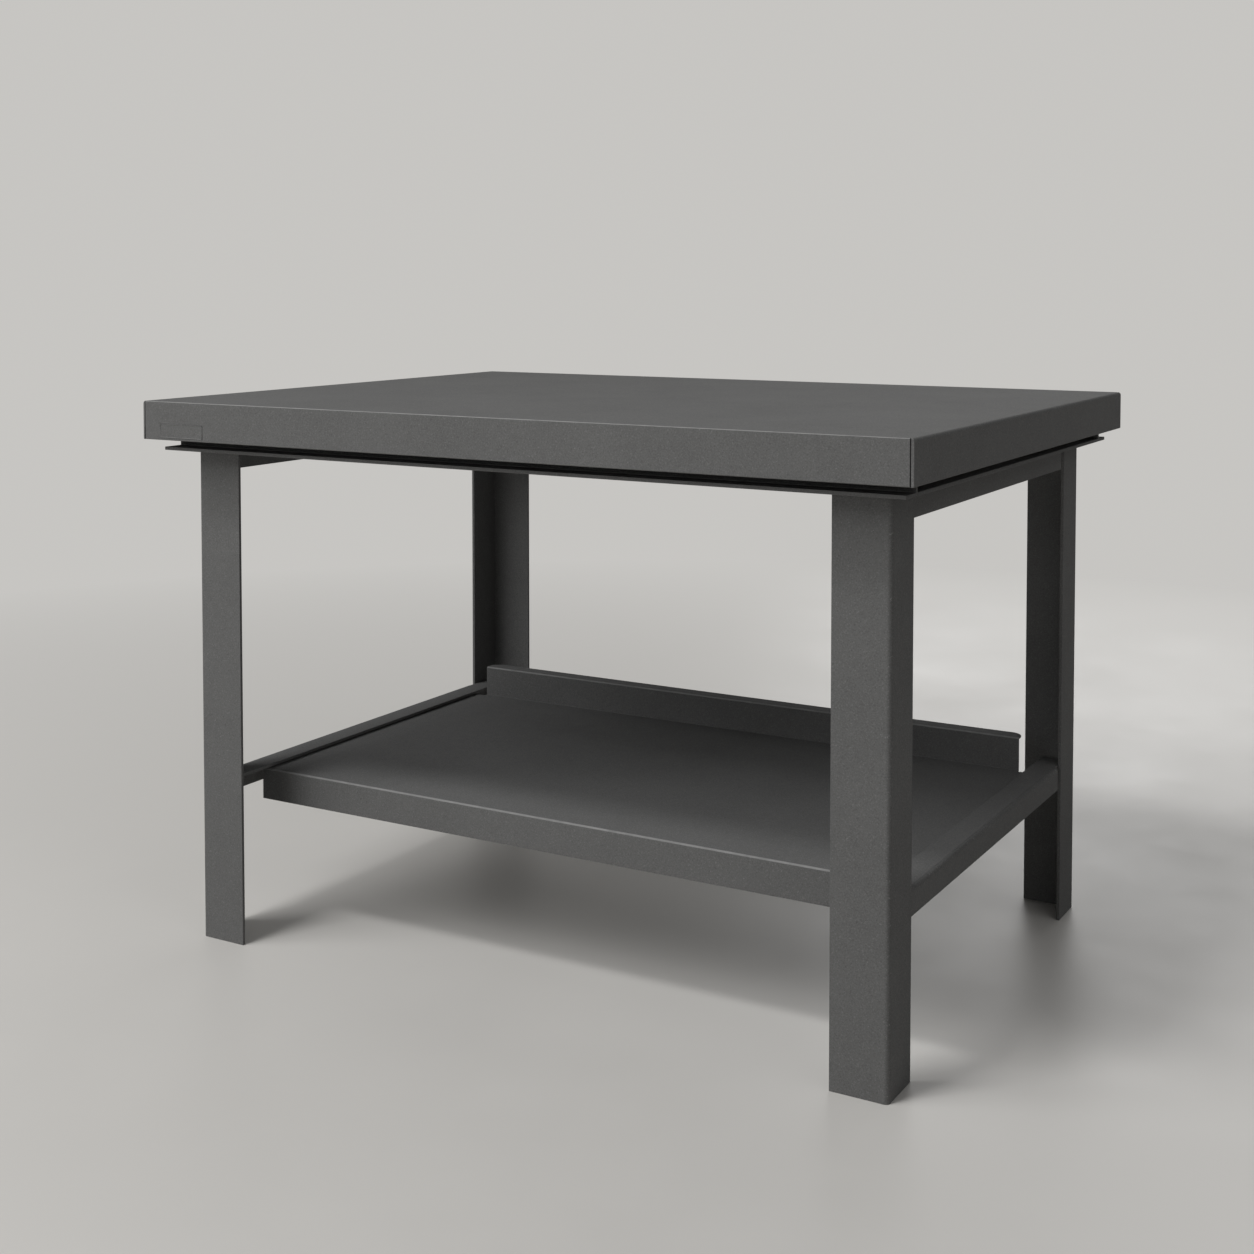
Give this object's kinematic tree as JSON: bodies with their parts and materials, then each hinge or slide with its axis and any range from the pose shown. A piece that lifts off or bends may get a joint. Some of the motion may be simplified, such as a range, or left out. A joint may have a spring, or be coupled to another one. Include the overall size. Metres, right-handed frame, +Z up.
{
  "type": "workbench",
  "caption": "Free-standing steel workbench: a folded worktop with deep edges on bent L-section legs, with rails and a lower shelf that has a front lip and a rear upstand.",
  "frame": {"origin": "on the floor, under the centre of the worktop", "axes": "+X along the bench to the right seen from its front, +Y towards its back, +Z up"},
  "size_m": [1.25, 0.94, 0.845],
  "materials": {
    "worktop_coat": "dark grey fine-textured powder coat",
    "frame_coat": "dark grey fine-textured powder coat",
    "leg_coat": "dark grey fine-textured powder coat",
    "shelf_coat": "dark grey fine-textured powder coat",
    "inner_coat": "dark grey powder coat on hidden ribs",
    "zinc_plate": "zinc plated"
  },
  "bodies": {
    "root": {"worktop_skin": "worktop_coat", "worktop_rib_left": "inner_coat", "worktop_rib_middle": "inner_coat", "worktop_rib_right": "inner_coat", "front_top_rail": "frame_coat", "rear_top_rail": "frame_coat", "left_top_end_rail": "frame_coat", "right_top_end_rail": "frame_coat", "front_left_leg": "leg_coat", "front_right_leg": "leg_coat", "rear_left_leg": "leg_coat", "rear_right_leg": "leg_coat", "left_lower_end_rail": "frame_coat", "right_lower_end_rail": "frame_coat", "shelf_tray": "shelf_coat", "front_shelf_rib": "inner_coat", "rear_shelf_rib": "inner_coat", "top_bolts": "zinc_plate", "top_washers": "zinc_plate", "top_weld_nuts": "zinc_plate", "shelf_studs": "zinc_plate", "shelf_spacers": "zinc_plate", "shelf_washers": "zinc_plate", "shelf_nuts": "zinc_plate"}
  },
  "joints": []
}
